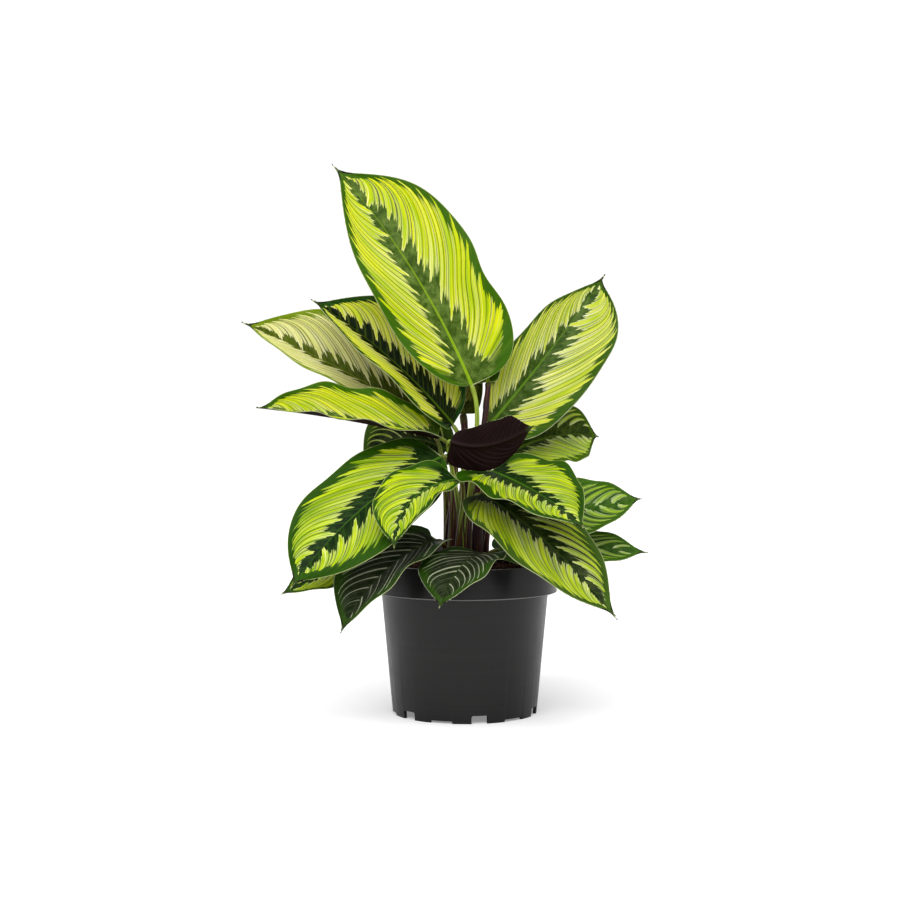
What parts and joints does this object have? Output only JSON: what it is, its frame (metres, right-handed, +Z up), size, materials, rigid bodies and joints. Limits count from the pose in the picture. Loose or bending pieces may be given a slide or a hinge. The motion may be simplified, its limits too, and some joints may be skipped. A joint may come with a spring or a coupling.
{
  "type": "potted calathea",
  "caption": "Potted calathea: striped yellow-green leaves on purple and green stalks, in soil in a dark round plastic grower pot that stands on its own.",
  "frame": {"origin": "centre of the pot's foot on the floor it stands on, on the pot's axis", "axes": "+Z up along the pot's axis; -Y towards the side of the plant that the picture shows; +X to the right in the picture"},
  "size_m": [0.3121, 0.284, 0.42],
  "materials": {
    "pot_plastic": "satin",
    "soil": "matte",
    "leaf": "satin",
    "petiole": "satin"
  },
  "bodies": {
    "root": {"pot": "pot_plastic", "soil": "soil", "leaf_top": "leaf", "leaf_right_high": "leaf", "leaf_left_far": "leaf", "leaf_left_high": "leaf", "leaf_left_flat": "leaf", "leaf_left_shaded": "leaf", "leaf_back_tall": "leaf", "leaf_back_centre": "leaf", "leaf_left_low": "leaf", "leaf_front_small": "leaf", "leaf_front_upright": "leaf", "leaf_right_front": "leaf", "leaf_right_mid": "leaf", "leaf_right_low": "leaf", "leaf_right_far": "leaf", "leaf_right_rim": "leaf", "leaf_left_sliver": "leaf", "leaf_rim_left": "leaf", "leaf_rim_front": "leaf", "leaf_back_left": "leaf", "leaf_back_right": "leaf", "leaf_back_low": "leaf", "leaf_rim_back": "leaf", "leaf_rim_back_right": "leaf", "petiole_top": "petiole", "petiole_right_high": "petiole", "petiole_left_far": "petiole", "petiole_left_high": "petiole", "petiole_left_flat": "petiole", "petiole_left_shaded": "petiole", "petiole_back_tall": "petiole", "petiole_back_centre": "petiole", "petiole_left_low": "petiole", "petiole_front_small": "petiole", "petiole_front_upright": "petiole", "petiole_right_front": "petiole", "petiole_right_mid": "petiole", "petiole_right_low": "petiole", "petiole_right_far": "petiole", "petiole_right_rim": "petiole", "petiole_left_sliver": "petiole", "petiole_rim_left": "petiole", "petiole_rim_front": "petiole", "petiole_back_left": "petiole", "petiole_back_right": "petiole", "petiole_back_low": "petiole", "petiole_rim_back": "petiole", "petiole_rim_back_right": "petiole"}
  },
  "joints": []
}
